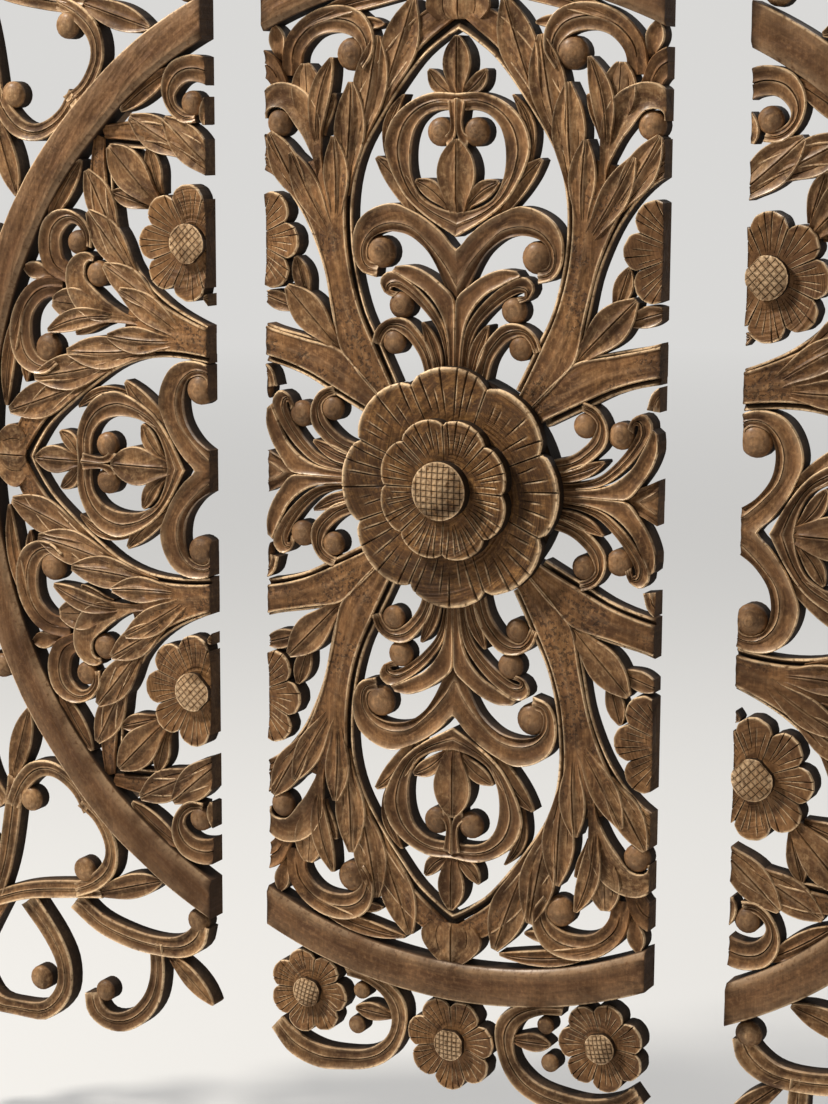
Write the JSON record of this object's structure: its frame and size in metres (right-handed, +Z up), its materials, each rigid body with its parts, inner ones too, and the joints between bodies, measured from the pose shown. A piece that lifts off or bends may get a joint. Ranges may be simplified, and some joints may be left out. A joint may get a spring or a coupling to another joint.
{
  "type": "carved openwork wall panel triptych",
  "caption": "Upright carved openwork wood wall panels that together form one round lotus mandala, held off the wall by blocks behind the ring, with an applied rosette at the middle.",
  "frame": {"origin": "on the wall plane behind the middle of the rosette, the middle of the centre hub block's rear face", "axes": "+Z up, -Y out of the wall towards the viewer, +X to the right when seen from the front"},
  "size_m": [1.333, 0.072, 1.205],
  "materials": {
    "carved_wood": "worn oiled carving with dark wax in the recesses",
    "rosette_wood": "worn oiled carving",
    "block_wood": "sawn, unfinished",
    "hanger_steel": "zinc plated",
    "screw_steel": "zinc plated"
  },
  "bodies": {
    "root": {"left_carved_panel": "carved_wood", "centre_carved_panel": "carved_wood", "right_carved_panel": "carved_wood", "rosette_outer_petals": "rosette_wood", "rosette_inner_petals": "rosette_wood", "rosette_button": "rosette_wood", "rosette_dowel": "rosette_wood", "centre_hub_block": "block_wood", "left_wall_block_1": "block_wood", "left_wall_block_2": "block_wood", "left_wall_block_3": "block_wood", "left_wall_block_4": "block_wood", "centre_wall_block_1": "block_wood", "centre_wall_block_2": "block_wood", "centre_wall_block_3": "block_wood", "centre_wall_block_4": "block_wood", "right_wall_block_1": "block_wood", "right_wall_block_2": "block_wood", "right_wall_block_3": "block_wood", "right_wall_block_4": "block_wood", "hanger_plates": "hanger_steel", "hanger_screws": "screw_steel"}
  },
  "joints": []
}
